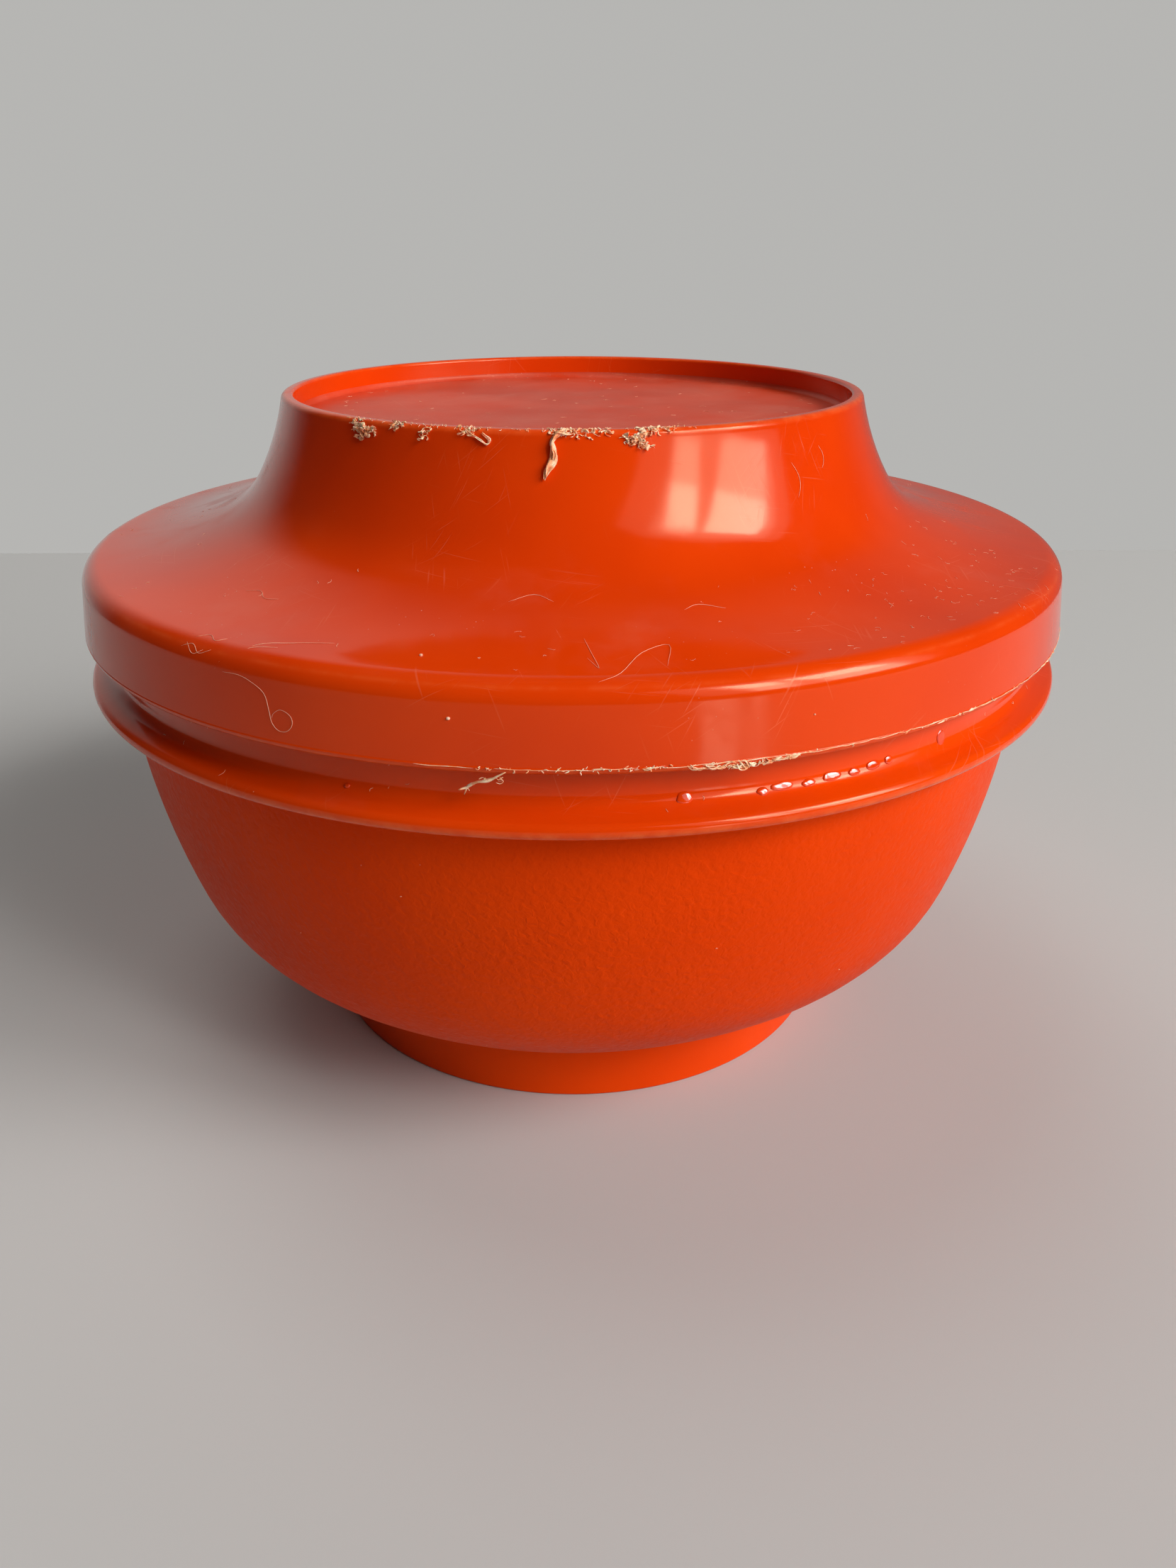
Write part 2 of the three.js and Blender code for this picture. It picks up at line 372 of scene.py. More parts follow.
class Recipe(Nodes):
    """A material, with the few node patterns that the finishes share."""

    def __init__(self, name):
        self.material = bpy.data.materials.new(name)
        self.material.use_nodes = True
        super().__init__(self.material.node_tree)
        self.shader = self.tree.nodes["Principled BSDF"]
        self.object_place = self.node("ShaderNodeTexCoord").outputs["Object"]

    def noise(self, scale, detail, roughness=0.5, distortion=0.0, place=None):
        inputs = {"Vector": place or self.object_place, "Scale": scale, "Detail": detail}
        inputs |= {"Roughness": roughness, "Distortion": distortion}
        return self.node("ShaderNodeTexNoise", inputs).outputs["Fac"]

    def cells(self, scale, feature="F1"):
        inputs = {"Vector": self.object_place, "Scale": scale}
        return self.node("ShaderNodeTexVoronoi", inputs, feature=feature).outputs["Distance"]

    def bump(self, height, distance, strength, under=None):
        """A bump with its distance in millimetres."""
        inputs = {"Height": height, "Distance": distance * MM, "Strength": strength}
        if under is not None:
            inputs["Normal"] = under
        return self.node("ShaderNodeBump", inputs).outputs["Normal"]

    def facing_up(self, low, high, least=0.0):
        """From least to 1 as the surface turns upwards."""
        normal = self.node("ShaderNodeNewGeometry").outputs["Normal"]
        up = self.node("ShaderNodeSeparateXYZ", {0: normal}).outputs["Z"]
        return self.ramp(up, low, high, least)

    def cylindrical(self):
        """The angle round the axis from the front, the radius and the height."""
        x, y, z = self.node("ShaderNodeSeparateXYZ", {0: self.object_place}).outputs
        angle = self.math("ARCTAN2", x, self.math("MULTIPLY", y, -1.0))
        squares = [self.math("MULTIPLY", side, side) for side in (x, y)]
        return angle, self.math("SQRT", self.math("ADD", *squares)), z

    def unrolled(self):
        """The surface unrolled: round the axis, and along the section, both in metres."""
        angle, radius, height = self.cylindrical()
        around = self.math("MULTIPLY", angle, UNROLL_RADIUS)
        along = self.math("SUBTRACT", radius, height)
        return self.node("ShaderNodeCombineXYZ", {0: around, 1: along}).outputs[0]

    def scratches(self, flat, scale, turned, thin, cover):
        """Fine straight scratches in one direction of a flattened surface, in patches."""
        mapping = self.node("ShaderNodeMapping", {"Vector": flat}, vector_type="TEXTURE")
        mapping.inputs["Rotation"].default_value = (0, 0, math.radians(turned))
        mapping.inputs["Scale"].default_value = (SCRATCH_STRETCH, 1.0, 1.0)
        streaks = self.ramp(self.noise(scale, 1.0, 0.5, 0.0, mapping.outputs[0]), thin, thin + 0.06)
        patches = self.ramp(self.noise(70.0, 3.0), cover, cover + 0.12)
        return self.math("MULTIPLY", streaks, patches)

    def specks(self, scale, size, cover):
        """Small round specks, in patches."""
        dots = self.ramp(self.cells(scale), 0.0, size, 1.0, 0.0)
        patches = self.ramp(self.noise(60.0, 4.0, 0.6), cover, cover + 0.1)
        return self.math("MULTIPLY", dots, patches)

    def worn_and_highlit_edges(self):
        """Where the crest, the shoulder, the rims and the flange have been rubbed, and where their
        rounded edges are painted lighter as a highlight.
        """
        _, radius, height = self.cylindrical()
        broken = self.ramp(self.noise(260.0, 4.0, 0.6), 0.38, 0.62, 0.25, 1.0)
        wear_and_highlight = 0.0
        for r, z, reach in WORN_AND_HIGHLIT_EDGES:
            off_r = self.math("ABSOLUTE", self.math("SUBTRACT", radius, r * MM))
            off_z = self.math("ABSOLUTE", self.math("SUBTRACT", height, z * MM))
            near = self.ramp(self.math("MAXIMUM", off_r, off_z), 0.0, reach * MM, 1.0, 0.0)
            wear_and_highlight = self.math("MAXIMUM", wear_and_highlight, near)
        return self.math("MULTIPLY", wear_and_highlight, broken)

    def surface(self, colour, roughness, normal=None, ior=1.5, gloss=0.5, tint=(1, 1, 1)):
        self.feed(colour, self.shader.inputs["Base Color"])
        self.feed(roughness, self.shader.inputs["Roughness"])
        if normal is not None:
            self.feed(normal, self.shader.inputs["Normal"])
        self.shader.inputs["IOR"].default_value = ior
        self.shader.inputs["Specular IOR Level"].default_value = gloss
        self.shader.inputs["Specular Tint"].default_value = (*tint, 1)
        return self.material


def grained_belly():
    """Satin plastic with a fine leather grain."""
    make = Recipe("bowl_belly_grain")
    tone = make.ramp(make.noise(22.0, 3.0), 0.35, 0.65)
    colour = make.mix(tone, BOWL_ORANGE, BOWL_DEEP)
    colour = make.mix(make.specks(900.0, 0.10, 0.60), colour, DUST)
    wrinkle = make.noise(1150.0, 3.0, 0.55, 0.7)
    pebble = make.cells(950.0, "SMOOTH_F1")
    grain = make.math("ADD", wrinkle, make.math("MULTIPLY", pebble, 0.55))
    roughness = make.ramp(grain, 0.3, 1.1, 0.36, 0.50)
    normal = make.bump(grain, 0.13, 0.9)
    return make.surface(colour, roughness, normal, 1.45, 0.07, (1, 0.4, 0.15))


def satin_foot():
    """The ungrained foot ring and underside."""
    make = Recipe("bowl_foot_satin")
    tone = make.ramp(make.noise(30.0, 3.0), 0.35, 0.65)
    colour = make.mix(tone, BOWL_ORANGE, BOWL_DEEP)
    roughness = make.ramp(make.noise(160.0, 4.0), 0.3, 0.7, 0.34, 0.46)
    normal = make.bump(make.noise(2600.0, 2.0), 0.02, 0.4)
    return make.surface(colour, roughness, normal, 1.5, 0.12, (1, 0.4, 0.15))


def polished(name, bright, deep, rough, dust_cover):
    """Polished plastic, a little wavy, with scratches, scuffs, and dust on what faces up."""
    make = Recipe(name)
    tone = make.ramp(make.noise(26.0, 3.0), 0.35, 0.65)
    flat = make.unrolled()
    scratch = 0.0
    for turned in (12, 75, -40, -68):
        more = make.scratches(flat, 2600.0, turned, 0.68, 0.50)
        scratch = make.math("MAXIMUM", scratch, more)
    scuff = make.ramp(make.noise(90.0, 5.0, 0.66), 0.46, 0.72)
    specks = make.specks(1000.0, 0.11, dust_cover)
    film = make.math("MULTIPLY", make.ramp(make.noise(38.0, 5.0, 0.65), 0.5, 0.75), 0.05)
    colour = make.mix(tone, bright, deep)
    colour = make.mix(make.math("MULTIPLY", scratch, 0.09), colour, PALE_WEAR)
    # rubbed edges painted lighter: part wear, part painted highlight where the rounded edges catch
    # the light
    colour = make.mix(make.math("MULTIPLY", make.worn_and_highlit_edges(), 0.42), colour, EDGE_WEAR_AND_HIGHLIGHT)
    colour = make.mix(make.math("MULTIPLY", film, make.facing_up(0.3, 0.95)), colour, DUST)
    colour = make.mix(make.math("MULTIPLY", specks, make.facing_up(0.6, 0.98, 0.3)), colour, DUST)
    scuffed = make.ramp(scuff, 0.0, 1.0, rough, rough + 0.12)
    roughness = make.math("ADD", scuffed, make.math("MULTIPLY", scratch, 0.12))
    normal = make.bump(make.noise(75.0, 2.0), 0.16, 0.5)
    normal = make.bump(scratch, 0.01, 0.25, normal)
    return make.surface(colour, roughness, normal, 1.48, 0.40, (1, 0.78, 0.52))


def dusty_disc():
    """The recessed disc: fine matt texture under a film of dust, with short scuffs."""
    make = Recipe("lid_disc_matt")
    tone = make.ramp(make.noise(40.0, 4.0), 0.35, 0.65)
    colour = make.mix(tone, LID_DEEP, DISC_DEEP)
    film = make.ramp(make.noise(70.0, 5.0, 0.65), 0.25, 0.80, 0.02, 0.15)
    colour = make.mix(film, colour, DUST)
    colour = make.mix(make.specks(1100.0, 0.12, 0.50), colour, DUST)
    scratch = 0.0
    for turned in (8, 55, 110, 160):
        more = make.scratches(make.object_place, 2500.0, turned, 0.68, 0.48)
        scratch = make.math("MAXIMUM", scratch, more)
    colour = make.mix(make.math("MULTIPLY", scratch, 0.14), colour, PALE_WEAR)
    normal = make.bump(make.noise(1700.0, 3.0), 0.04, 0.5)
    return make.surface(colour, 0.42, normal, 1.5, 0.3, (1, 0.7, 0.5))


def frayed():
    """Torn, stretched plastic, paler than the wall it was torn from."""
    make = Recipe("frayed_plastic")
    tone = make.ramp(make.noise(900.0, 4.0, 0.6), 0.38, 0.62)
    colour = make.mix(tone, (0.98, 0.40, 0.18, 1), (1.0, 0.76, 0.52, 1))
    make.shader.inputs["Subsurface Weight"].default_value = 0.4
    make.shader.inputs["Subsurface Radius"].default_value = (0.001, 0.0004, 0.0002)
    return make.surface(colour, 0.55, make.bump(make.noise(3500.0, 2.0), 0.04, 0.4))


def lint():
    """Fibres and specks of dust."""
    make = Recipe("lint")
    tone = make.noise(1500.0, 2.0)
    colour = make.mix(tone, (0.86, 0.32, 0.16, 1), (0.92, 0.62, 0.44, 1))
    return make.surface(colour, 0.7, None, 1.45)


def wet_gloss():
    """The smoothest plastic, for blisters that catch the light."""
    make = Recipe("blister_gloss")
    tone = make.ramp(make.noise(400.0, 2.0), 0.35, 0.65)
    colour = make.mix(tone, BOWL_ORANGE, BOWL_DEEP)
    roughness = make.ramp(make.noise(900.0, 2.0), 0.3, 0.7, 0.03, 0.07)
    normal = make.bump(make.noise(800.0, 2.0), 0.08, 0.5)
    return make.surface(colour, roughness, normal, 1.5, 0.9)


# ---- the two mouldings -----------------------------------------------------------------

bowl_gloss = polished("bowl_polished", BOWL_ORANGE, BOWL_DEEP, 0.10, 0.66)
bowl_finishes = {
    "belly": grained_belly(), "foot": satin_foot(), "gloss": bowl_gloss, "inside": bowl_gloss,
}
bowl_shell = turn("bowl_shell", bowl_outline(), bowl_finishes)
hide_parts("bowl")
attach(bowl_shell, "bowl")

lid_gloss = polished("lid_polished", LID_ORANGE, LID_DEEP, 0.11, 0.56)
lid_finishes = {"gloss": lid_gloss, "disc": dusty_disc(), "inside": lid_gloss}
lid_shell = turn("lid_shell", lid_outline(), lid_finishes)
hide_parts("lid")
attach(lid_shell, "lid")

# ---- frayed edges, lint and blisters ---------------------------------------------------


def on_round(azimuth, r, z):
    """A point in millimetres, with its azimuth in degrees from the front towards +X."""
    return Vector((r * sine(azimuth), -r * cosine(azimuth), z))


def follow(skin, index, value):
    """Where a section first reaches a radius (index 0) or a height (index 1), and its normal."""
    for start, end in zip(skin, skin[1:]):
        low, high = sorted((start[index], end[index]))
        if low <= value <= high and low < high:
            way = (value - start[index]) / (end[index] - start[index])
            dr, dz = end[0] - start[0], end[1] - start[1]
            length = math.hypot(dr, dz)
            return start[0] + dr * way, start[1] + dz * way, dz / length, -dr / length
    return skin[-1][0], skin[-1][1], 0.0, 1.0


def laid(skin, azimuth, lift, r=None, z=None):
    """A point lifted off the skin at an azimuth and either a radius or a height."""
    found = follow(skin, 0, r) if r is not None else follow(skin, 1, z)
    return on_round(azimuth, found[0] + lift * found[2], found[1] + lift * found[3])


# the lid's outside, from its widest point to the middle of the disc, and the whole bowl
lid_points = lid_outline().points
LID_SKIN = lid_points[max(range(len(lid_points)), key=lambda i: lid_points[i][0]):]
BOWL_SKIN = bowl_outline().points


def smooth_path(path, steps=4):
    """Points on a curve that passes smoothly through the path."""
    ends = [path[0] * 2 - path[1], *path, path[-1] * 2 - path[-2]]
    spine = []
    for a, b, c, d in zip(ends, ends[1:], ends[2:], ends[3:]):
        for i in range(steps):
            t = i / steps
            spine.append(
                b + (c - a) * (t / 2) + (a * 2 - b * 5 + c * 4 - d) * (t * t / 2)
                + (b * 3 - a - c * 3 + d) * (t ** 3 / 2)
            )
    return [*spine, path[-1].copy()]


class Strands:
    """Thin tapering strands gathered into one mesh. Measures are in millimetres."""

    def __init__(self, seed):
        self.rng = random.Random(seed)
        self.vertices = []
        self.faces = []

    def add(self, path, thickness, width=None, twist=0.0, sides=6, tip=0.3):
        """Sweeps a flattened section along a smoothed path, with a twist in degrees a step.

        The tip is the strand's thickness at its ends, as a share of that in the middle.
        """
        spine = smooth_path(path)
        width = width or thickness
        first = len(self.vertices)
        across = None
        for i, point in enumerate(spine):
            ahead = (spine[min(i + 1, len(spine) - 1)] - spine[max(i - 1, 0)]).normalized()
            if across is None:
                across = ahead.orthogonal()
            across = (across - ahead * across.dot(ahead)).normalized()
            across = Matrix.Rotation(math.radians(twist), 3, ahead) @ across
            up = ahead.cross(across)
            way = i / (len(spine) - 1)
            full = tip + (1 - tip) * math.sin(math.pi * way) ** 0.5
            for k in range(sides):
                spot = 360 * k / sides
                offset = across * (width / 2 * full * cosine(spot))
                offset += up * (thickness / 2 * full * sine(spot))
                self.vertices.append((point + offset) * MM)
        last = len(self.vertices) - sides
        for row in range(first, last, sides):
            ahead_row = row + sides
            for k in range(sides):
                side_k = (k + 1) % sides
                self.faces.append((row + k, row + side_k, ahead_row + side_k, ahead_row + k))
        self.faces.append(tuple(first + k for k in reversed(range(sides))))
        self.faces.append(tuple(last + k for k in range(sides)))

    def jitter(self, size):
        return self.rng.uniform(-size, size)

    def stray(self, start, x, y, z, sag=0.0):
        """A start and three random steps from it, each lowered by the sag."""
        path = [start]
        for _ in range(3):
            step = Vector((self.jitter(x), self.jitter(y), self.jitter(z) - sag))
            path.append(path[-1] + step)
        return path

    def wander(self, azimuth, z, steps, stride, down, lift, thickness, width=None):
        """A torn strand that starts at a height on the lid and wanders; down is -1 to 1."""
        heading = self.rng.uniform(-180, 180)
        path = []
        rise = 0.0
        for _ in range(steps):
            point = laid(LID_SKIN, azimuth, 0.02 + rise, z=min(z, RING_TOP_Z - 0.02))
            point.z = min(point.z + max(0.0, z - RING_TOP_Z), RING_TOP_Z + BURR_HEIGHT)
            path.append(point)
            heading += self.jitter(70)
            azimuth += math.degrees(stride * sine(heading) / math.hypot(point.x, point.y))
            z -= stride * (cosine(heading) * 0.6 + down * 0.7)
            z = min(z, RING_TOP_Z + 0.25)
            rise = min(lift, max(0.0, rise + self.rng.uniform(-0.12, 0.25)))
        self.add(path, thickness, width, self.jitter(45), 5, 0.12)

    def clump(self, spine, reach, count, broad):
        """Crumpled ribbons along a line of azimuths and heights on the lid, near its ring.

        The reach is how far they lie from the line, and broad their most width for their
        thickness.
        """
        for _ in range(count):
            at = self.rng.uniform(0, len(spine) - 1.001)
            before, after = spine[int(at)], spine[int(at) + 1]
            azimuth, z = (a + (b - a) * (at % 1) for a, b in zip(before, after))
            azimuth += self.jitter(math.degrees(reach / RING_RADIUS))
            z = min(z + self.jitter(reach), RING_TOP_Z)
            thick = 0.06 * self.rng.uniform(0.6, 1.3)
            wide = thick * self.rng.uniform(1.5, broad)
            self.wander(azimuth, z, 4, 0.36, 0.12, 0.5, thick, wide)

    def piece(self, name, material, body):
        made = add_mesh(name, self.vertices, self.faces, [material])
        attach(made, body)


# line of azimuths and heights, reach, number of strands and broadest strand of each tuft
RING_TUFTS = [
    (((-39.8, 100.4), (-38.6, 100.0), (-37.6, 99.3), (-36.4, 100.0), (-34.9, 99.9)), 0.34, 60, 13),
    (((-38.3, 100.5), (-37.9, 99.7), (-38.1, 98.7)), 0.26, 20, 13),
    (((-30.9, 101.0), (-30.2, 100.7), (-29.8, 101.0)), 0.30, 20, 9),
    (((-25.4, 100.7), (-24.5, 100.4), (-24.7, 99.6)), 0.16, 13, 8),
    (((-18.6, 100.8), (-17.2, 100.5), (-16.2, 100.6)), 0.20, 14, 8),
    (((-4.2, 100.9), (-1.2, 100.9), (0.4, 100.7), (1.8, 100.4)), 0.18, 34, 9),
    (((2.3, 100.8), (2.9, 100.8)), 0.18, 8, 8),
    (((4.6, 100.8), (5.4, 100.8)), 0.2, 8, 8),
    (((12.1, 100.9), (10.9, 100.5), (10.2, 99.9), (9.1, 99.9), (8.2, 100.3)), 0.26, 50, 13),
    (((10.3, 99.9), (10.7, 99.3), (11.9, 98.9)), 0.22, 26, 12),
    (((12.2, 100.9), (14.0, 100.9), (17.3, 101.0)), 0.16, 22, 8),
]
RING_CURL = [
    (-17.9, 100.7), (-16.6, 100.2), (-15.3, 99.9), (-13.8, 99.2), (-13.5, 99.7), (-14.8, 100.5),
]
RING_SHRED = [
    (-1.0, 100.7), (-2.4, 100.5), (-3.3, 100.0), (-3.4, 99.0),
    (-3.1, 98.1), (-3.5, 97.2), (-4.1, 96.4), (-4.3, 95.4),
]


def ring_burrs(material):
    """Frayed plastic along the front of the ring's crest."""
    strands = Strands(11)
    for spine, reach, count, broad in RING_TUFTS:
        strands.clump(spine, reach, count, broad)
    for _ in range(90):
        azimuth = strands.rng.uniform(-42, 20)
        strands.wander(azimuth, RING_TOP_Z - 0.05, 3, 0.22, 0.1, 0.15, 0.07)
    for lift in (0.10, 0.22, 0.34):
        path = []
        for azimuth, z in RING_CURL:
            azimuth += strands.jitter(0.3)
            path.append(laid(LID_SKIN, azimuth, lift, z=z + strands.jitter(0.12)))
        strands.add(path, 0.09, 0.22, 14, 5)
    for twist, width in ((7, 1.05), (-11, 0.85), (18, 0.65), (-9, 0.45), (24, 0.40)):
        path = []
        for azimuth, z in RING_SHRED:
            azimuth += strands.jitter(0.28)
            lift = 0.18 + abs(strands.jitter(0.35))
            path.append(laid(LID_SKIN, azimuth, lift, z=z + strands.jitter(0.22)))
        strands.add(path, 0.07, width, twist, 6, 0.4)
    strands.piece("ring_burrs", material, "lid")


# azimuths, number of strands and sag of each frayed stretch of the skirt's edge
SKIRT_TUFTS = [(9, 19, 74, 1.15), (4.0, 6.2, 10, 0.45), (28, 41, 16, 0.4), (55, 62, 8, 0.3)]
# azimuth, radius and height of every stop along the shred that hangs from the skirt
SKIRT_SHRED = [
    (-5.8, 74.9, 69.5), (-6.5, 74.8, 68.9), (-7.4, 74.7, 68.3), (-8.3, 74.5, 68.0),
    (-9.2, 74.3, 67.2),
]
SKIRT_SHRED_ENDS = [(-9.6, 74.0, 66.1), (-10.0, 74.4, 66.9), (-9.2, 73.9, 66.5)]


def skirt_burrs(material):
    """The frayed parting line round the skirt's lower edge."""
    strands = Strands(23)
    edge_z = SKIRT_BOTTOM_Z + SKIRT_ROUND
    azimuth = -18.0
    while azimuth < 68:
        length = strands.rng.uniform(1.5, 6.0)
        if strands.rng.random() < (0.95 if azimuth > -8 else 0.6):
            path = []
            for i in range(5):
                r = SKIRT_RADIUS + strands.rng.uniform(-0.03, 0.05)
                path.append(on_round(azimuth + length * i / 4, r, edge_z + strands.jitter(0.10)))
            strands.add(path, 0.07, strands.rng.uniform(0.08, 0.18), strands.jitter(8), 5, 0.1)
        azimuth += length * 0.75
    for _ in range(70):
        azimuth = strands.rng.choice((strands.rng.uniform(-8, 8), strands.rng.uniform(-14, 62)))
        start = on_round(azimuth, SKIRT_RADIUS, edge_z)
        strands.add(strands.stray(start, 0.25, 0.12, 0.22), 0.08, 0.14, 10, 5)
    for low, high, count, sag in SKIRT_TUFTS:
        for _ in range(count):
            azimuth = strands.rng.uniform(low, high)
            path = []
            for _ in range(5):
                near = 1 - min(1.0, abs(azimuth - (low + high) / 2) / (high - low))
                drop = strands.rng.uniform(0.0, sag * near)
                r = SKIRT_RADIUS + strands.rng.uniform(-0.35, 0.06)
                path.append(on_round(azimuth, r, edge_z + 0.1 - drop))
                azimuth += strands.rng.uniform(0.15, 0.75)
            strands.add(path, 0.06, strands.rng.uniform(0.1, 0.5), strands.jitter(20), 5, 0.15)
    for end in SKIRT_SHRED_ENDS:
        path = []
        for stop in (*SKIRT_SHRED, end):
            shift = Vector((strands.jitter(0.10), strands.jitter(0.10), strands.jitter(0.10)))
            path.append(on_round(*stop) + shift)
        strands.add(path, 0.14, 0.34, 18, 6, 0.5)
    for _ in range(5):
        start = on_round(strands.rng.uniform(-8, -6), 74.7, 68.6)
        strands.add(strands.stray(start, 0.5, 0.1, 0.3, 0.12), 0.06, 0.1, 10, 5)
    strands.piece("skirt_burrs", material, "lid")


# azimuths and heights of the hairs on the skirt and the ring's side, the looped one first
STEEP_HAIRS = [
    (
        (-33.0, 76.9), (-31.2, 77.0), (-29.8, 76.6), (-28.2, 75.5), (-27.7, 73.7), (-27.4, 72.2),
        (-26.7, 71.4), (-25.8, 71.5), (-25.2, 72.4), (-25.4, 73.4), (-26.4, 73.9), (-27.2, 73.3),
        (-27.4, 72.7),
    ),
    ((-39, 78.4), (-37.6, 78.9), (-36.4, 78.2), (-35, 78.8)),
    ((-38.5, 78.9), (-37.2, 78.0), (-36, 78.6)),
    ((38.6, 95.6), (39.6, 94.2), (39.6, 92.8), (38.4, 91.4)),
    ((46.4, 97.0), (47.2, 96.0), (47.0, 95.0), (46.2, 94.2)),
]
# azimuths and radii of the hairs on the sweep and the shoulder
FLAT_HAIRS = [
    ((-34, 74.4), (-31, 71.6), (-28, 69.2), (-24, 67.6)),
    ((-33.6, 74.2), (-31, 72.2), (-28.6, 70.9)),
    ((-38, 72.6), (-36.8, 71.6), (-35.4, 72.4), (-34.6, 71.4)),
    ((-43, 61), (-41, 60.2), (-39, 61.3), (-37, 60.8)),
    ((1.0, 63), (1.6, 66), (2.2, 70), (1.2, 67.4)),
    ((2, 73), (4, 71.5), (6.5, 66.5), (9.5, 65), (8.4, 70)),
    ((13, 58), (15, 57.2), (18, 58.4)),
    ((-8, 56), (-5, 54.6), (-2.5, 55.8)),
]
# azimuth, height or radius, and size of the larger specks
LID_SPECKS = [(-10.6, {"z": 75.3}, 0.42), (-14.6, {"r": 68.2}, 0.36), (21, {"z": 74.2}, 0.2)]
# azimuth, height and size
BOWL_SPECKS = [(-18, 49, 0.35), (-12, 21, 0.3), (15, 41, 0.25), (34, 30, 0.25), (-33, 38, 0.22)]


def lid_lint(material):
    """Hairs, fibres and grains of dust lying on the lid."""
    strands = Strands(37)
    for hair in STEEP_HAIRS:
        strands.add([laid(LID_SKIN, azimuth, 0.05, z=z) for azimuth, z in hair], 0.055)
    for hair in FLAT_HAIRS:
        strands.add([laid(LID_SKIN, azimuth, 0.05, r=r) for azimuth, r in hair], 0.05)
    for _ in range(150):
        azimuth = strands.rng.choice((strands.rng.uniform(25, 70), strands.rng.uniform(-180, 180)))
        r = strands.rng.triangular(48, 74, 71)
        path = [laid(LID_SKIN, azimuth, 0.04, r=r)]
        for _ in range(3):
            azimuth += strands.jitter(0.4)
            r = min(74.0, max(46.0, r + strands.jitter(0.4)))
            path.append(laid(LID_SKIN, azimuth, 0.04, r=r))
        strands.add(path, strands.rng.uniform(0.025, 0.045), None, 0, 4)
    for _ in range(90):
        azimuth, r = strands.jitter(180), 41 * strands.rng.random() ** 0.5
        path = [on_round(azimuth, r, DISC_Z + 0.03)]
        for _ in range(3):
            path.append(path[-1] + Vector((strands.jitter(0.6), strands.jitter(0.6), 0)))
        strands.add(path, strands.rng.uniform(0.025, 0.045), None, 0, 4)
    for azimuth, place, size in LID_SPECKS:
        start = laid(LID_SKIN, azimuth - 0.12, 0.05, **place)
        path = [start, start + Vector((size * 0.5, 0, 0.03)), start + Vector((size, 0, 0))]
        strands.add(path, size * 0.6, size, 0, 6, 0.5)
    strands.piece("lid_lint", material, "lid")


def bowl_lint(material):
    """A few specks on the belly, and grains of dust on the flange and the neck."""
    strands = Strands(41)
    for azimuth, z, size in BOWL_SPECKS:
        start = laid(BOWL_SKIN, azimuth, 0.03, z=z)
        path = [start, start + Vector((size * 0.4, 0, 0.1)), start + Vector((size, 0, 0.05))]
        strands.add(path, 0.1, 0.16, 0, 5)
    for _ in range(90):
        azimuth, z = strands.jitter(180), strands.rng.uniform(62.6, 68.5)
        path = [laid(BOWL_SKIN, azimuth, 0.03, z=z)]
        for _ in range(2):
            azimuth += strands.jitter(0.3)
            z = min(68.8, max(62.5, z + strands.jitter(0.3)))
            path.append(laid(BOWL_SKIN, azimuth, 0.03, z=z))
        strands.add(path, strands.rng.uniform(0.04, 0.07), None, 0, 4)
    strands.piece("bowl_lint", material, "bowl")


# azimuth, height, length round the neck and size across it of each blister
BLISTERS = [
    (9.9, 64.6, 1.9, 1.5), (17.4, 64.4, 1.5, 1.1), (19.4, 64.6, 3.0, 1.1), (22.2, 64.5, 1.8, 1.0),
    (24.8, 64.7, 2.6, 1.2), (27.4, 64.6, 1.7, 1.0), (29.8, 64.8, 2.2, 1.2), (31.8, 64.9, 1.4, 1.1),
    (39.5, 65.4, 1.5, 2.3), (-21.5, 64.5, 0.8, 0.6),
]
BLISTER_HEIGHT = 0.24
BLISTER_LEAN = 110              # past 90, so that the edge tucks under into the wall


def neck_blisters(material):
    """Small glossy blisters in the cove above the flange."""
    rng = random.Random(53)
    vertices, faces = [], []
    rows, columns = 8, 20
    for azimuth, z, long, tall in BLISTERS:
        r, height, out_r, out_z = follow(BOWL_SKIN, 1, z)
        centre = on_round(azimuth, r, height)
        normal = on_round(azimuth, out_r, out_z).normalized()
        along = Vector((cosine(azimuth), sine(azimuth), 0))
        up = normal.cross(along)
        seed = rng.uniform(0, 50)
        base = len(vertices)
        vertices.append((centre + normal * BLISTER_HEIGHT) * MM)
        for row in range(1, rows + 1):
            lean = BLISTER_LEAN * row / rows
            rise = BLISTER_HEIGHT * math.copysign(abs(cosine(lean)) ** 0.6, cosine(lean))
            for k in range(columns):
                spot = 360 * k / columns
                sample = Vector((cosine(spot) * 1.3, sine(spot) * 1.3, seed))
                ripple = 1 + 0.22 * noise.noise(sample)
                offset = along * (long / 2 * ripple * sine(lean) * cosine(spot))
                offset += up * (tall / 2 * ripple * sine(lean) * sine(spot))
                offset += normal * rise
                vertices.append((centre + offset) * MM)
        for k in range(columns):
            faces.append((base, base + 1 + k, base + 1 + (k + 1) % columns))
        for row in range(rows - 1):
            here = base + 1 + row * columns
            for k in range(columns):
                side_k = (k + 1) % columns
                faces.append((here + k, here + columns + k, here + columns + side_k, here + side_k))
        end = base + 1 + (rows - 1) * columns
        faces.append(tuple(end + k for k in reversed(range(columns))))
    blisters = add_mesh("neck_blisters", vertices, faces, [material])
    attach(blisters, "bowl")


fray_finish = frayed()
lint_finish = lint()
ring_burrs(fray_finish)
skirt_burrs(fray_finish)
lid_lint(lint_finish)
bowl_lint(lint_finish)
neck_blisters(wet_gloss())

# ---- stage, light and camera -----------------------------------------------------------


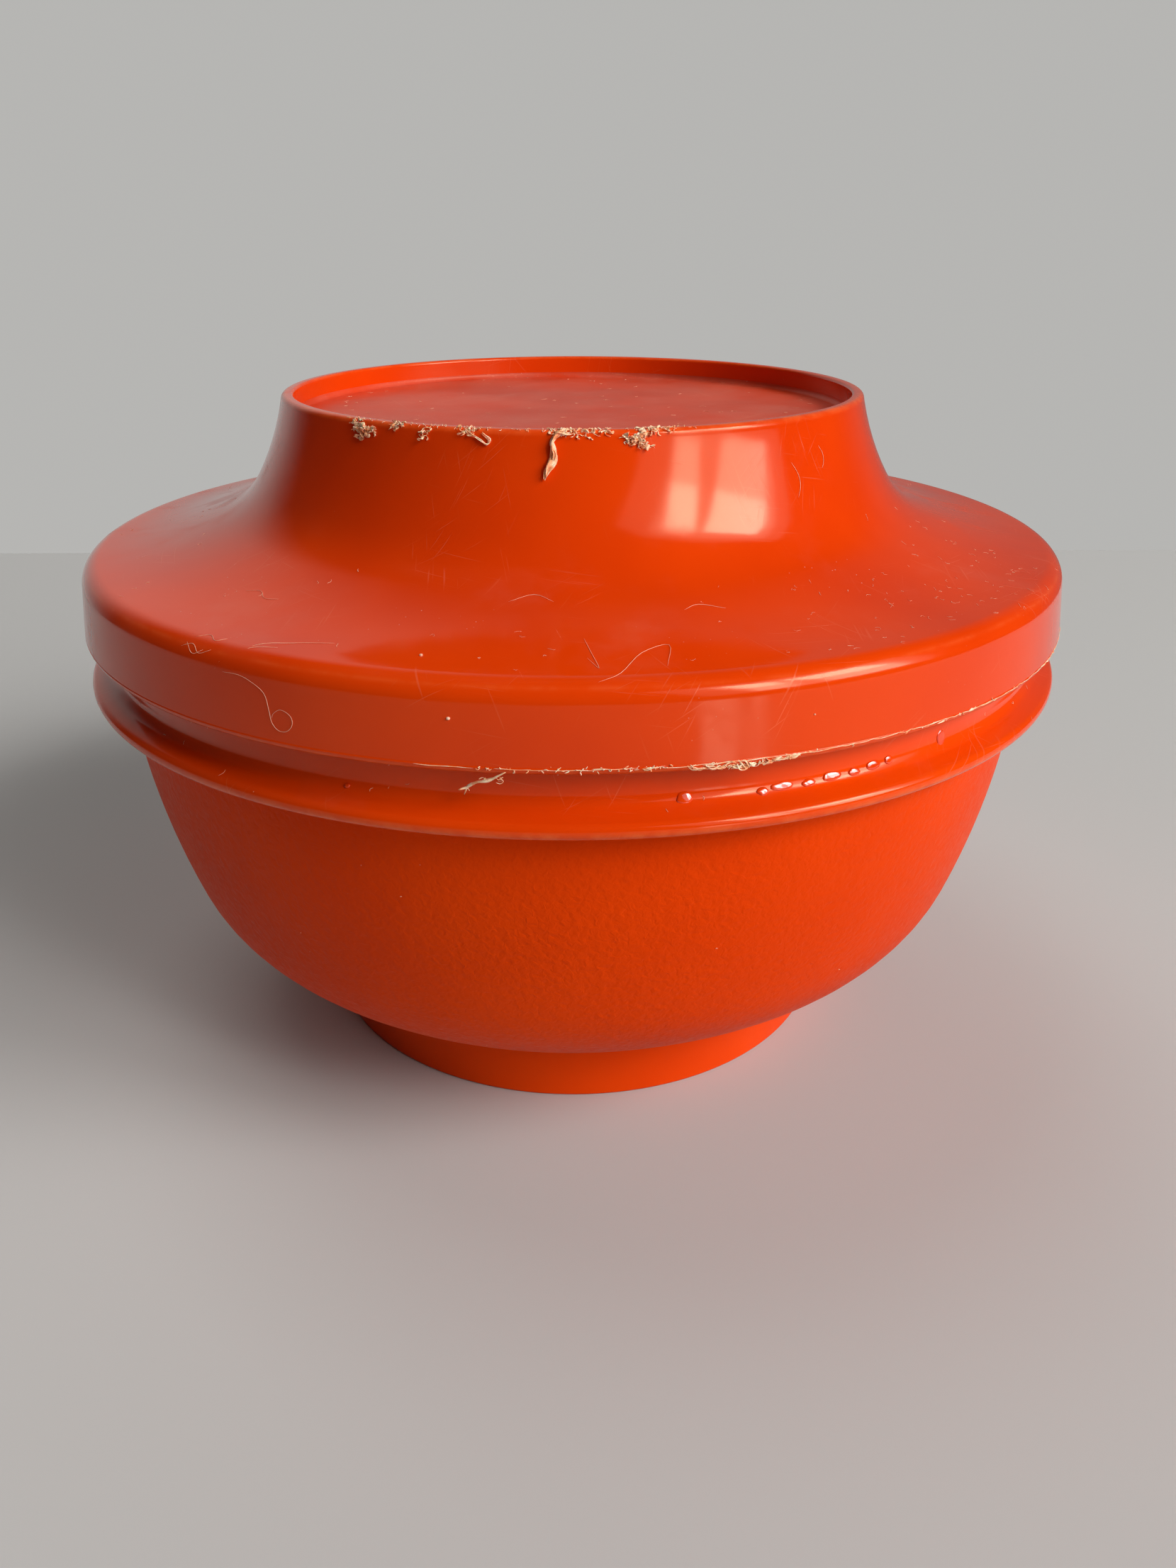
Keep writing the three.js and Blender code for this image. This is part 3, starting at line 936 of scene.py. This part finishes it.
def floor():
    """A round floor cut off straight behind the bowl, where the photo's table ends."""
    reach, back, steps = 1.6, 0.30, 96
    edge = math.degrees(math.asin(back / reach))
    sweep = [180 - edge + (180 + 2 * edge) * i / steps for i in range(steps + 1)]
    corners = [(reach * cosine(angle), reach * sine(angle), 0) for angle in sweep]
    make = Recipe("floor_paint")
    colour = make.mix(make.noise(3.0, 2.0), (0.49, 0.48, 0.46, 1), (0.52, 0.51, 0.49, 1))
    paint = make.surface(colour, 0.75)
    add_mesh("floor", corners, [tuple(range(len(corners)))], [paint])


def softbox(name, bearing, rise, distance, width, height, power, mirrored=True):
    """A soft panel facing the bowl.

    Bearing is clockwise from +Y, and rise is above level, in degrees. A panel that isn't
    mirrored lights the bowl but leaves no reflection.
    """
    light = bpy.data.lights.new(name, "AREA")
    light.shape = "RECTANGLE"
    light.size = width
    light.size_y = height
    light.energy = power
    aim = Vector((0, 0, 0.07))
    direction = Vector((sine(bearing) * cosine(rise), cosine(bearing) * cosine(rise), sine(rise)))
    panel = bpy.data.objects.new(name, light)
    panel.location = aim + direction * distance
    panel.rotation_euler = (-direction).to_track_quat("-Z", "Y").to_euler()
    panel.visible_camera = False
    panel.visible_glossy = mirrored
    bpy.context.collection.objects.link(panel)


def studio():
    """A window of four panes to the right of the camera, its surround, and soft fill."""
    softbox("window_near_low", 137, 21.5, 3.0, 0.50, 0.78, 8)
    softbox("window_near_high", 137, 36, 3.0, 0.50, 0.74, 17)
    softbox("window_far_low", 114, 21.5, 3.0, 0.98, 0.78, 15)
    softbox("window_far_high", 114, 36, 3.0, 0.98, 0.74, 32)
    softbox("window_surround", 122, 31, 3.2, 2.3, 1.9, 27)
    softbox("window_wall", 125, 31, 3.4, 3.6, 2.4, 31)
    softbox("overhead", -50, 72, 2.4, 1.2, 1.2, 11, False)
    softbox("back_fill", -20, 30, 2.6, 1.6, 1.6, 9, False)
    # two small panels near the bowl, for the soft bands low on the skirt
    softbox("low_bounce_narrow", 147, -9, 0.30, 0.016, 0.07, 0.007)
    softbox("low_bounce_wide", 154, -9, 0.30, 0.034, 0.07, 0.020)


def room():
    """A room that is pale behind the bowl and dim in front, with a plain backdrop."""
    world = bpy.data.worlds.new("room")
    bpy.context.scene.world = world
    world.use_nodes = True
    make = Nodes(world.node_tree)
    direction = make.node("ShaderNodeTexCoord").outputs["Generated"]
    x, y, _ = make.node("ShaderNodeSeparateXYZ", {0: direction}).outputs
    behind = make.ramp(y, 0.45, 0.8)
    across = make.ramp(x, -0.6, 0.6, 0.50, 0.10)
    lit = make.math("ADD", make.math("MULTIPLY", behind, across), 0.025)
    seen = make.node("ShaderNodeLightPath").outputs["Is Camera Ray"]
    strength = make.node("ShaderNodeMix", {0: seen, 2: lit, 3: 0.47}, data_type="FLOAT")
    background = make.tree.nodes["Background"]
    make.feed((1.0, 0.99, 0.96, 1), background.inputs["Color"])
    make.feed(strength.outputs[0], background.inputs["Strength"])
    bpy.context.scene.view_settings.view_transform = "Standard"


def camera():
    """The photo's viewpoint, looking down by the pitch and turned a little to the right."""
    pitch, turned = 24.67, 0.66
    data = bpy.data.cameras.new("camera")
    data.sensor_width = 36
    data.lens = 28.48
    data.clip_start = 0.005
    data.clip_end = 50
    piece = bpy.data.objects.new("camera", data)
    piece.location = (0, -0.1982, 0.1248)
    piece.rotation_euler = (math.radians(90 - pitch), 0, math.radians(-turned))
    bpy.context.collection.objects.link(piece)
    bpy.context.scene.camera = piece


floor()
studio()
room()
camera()
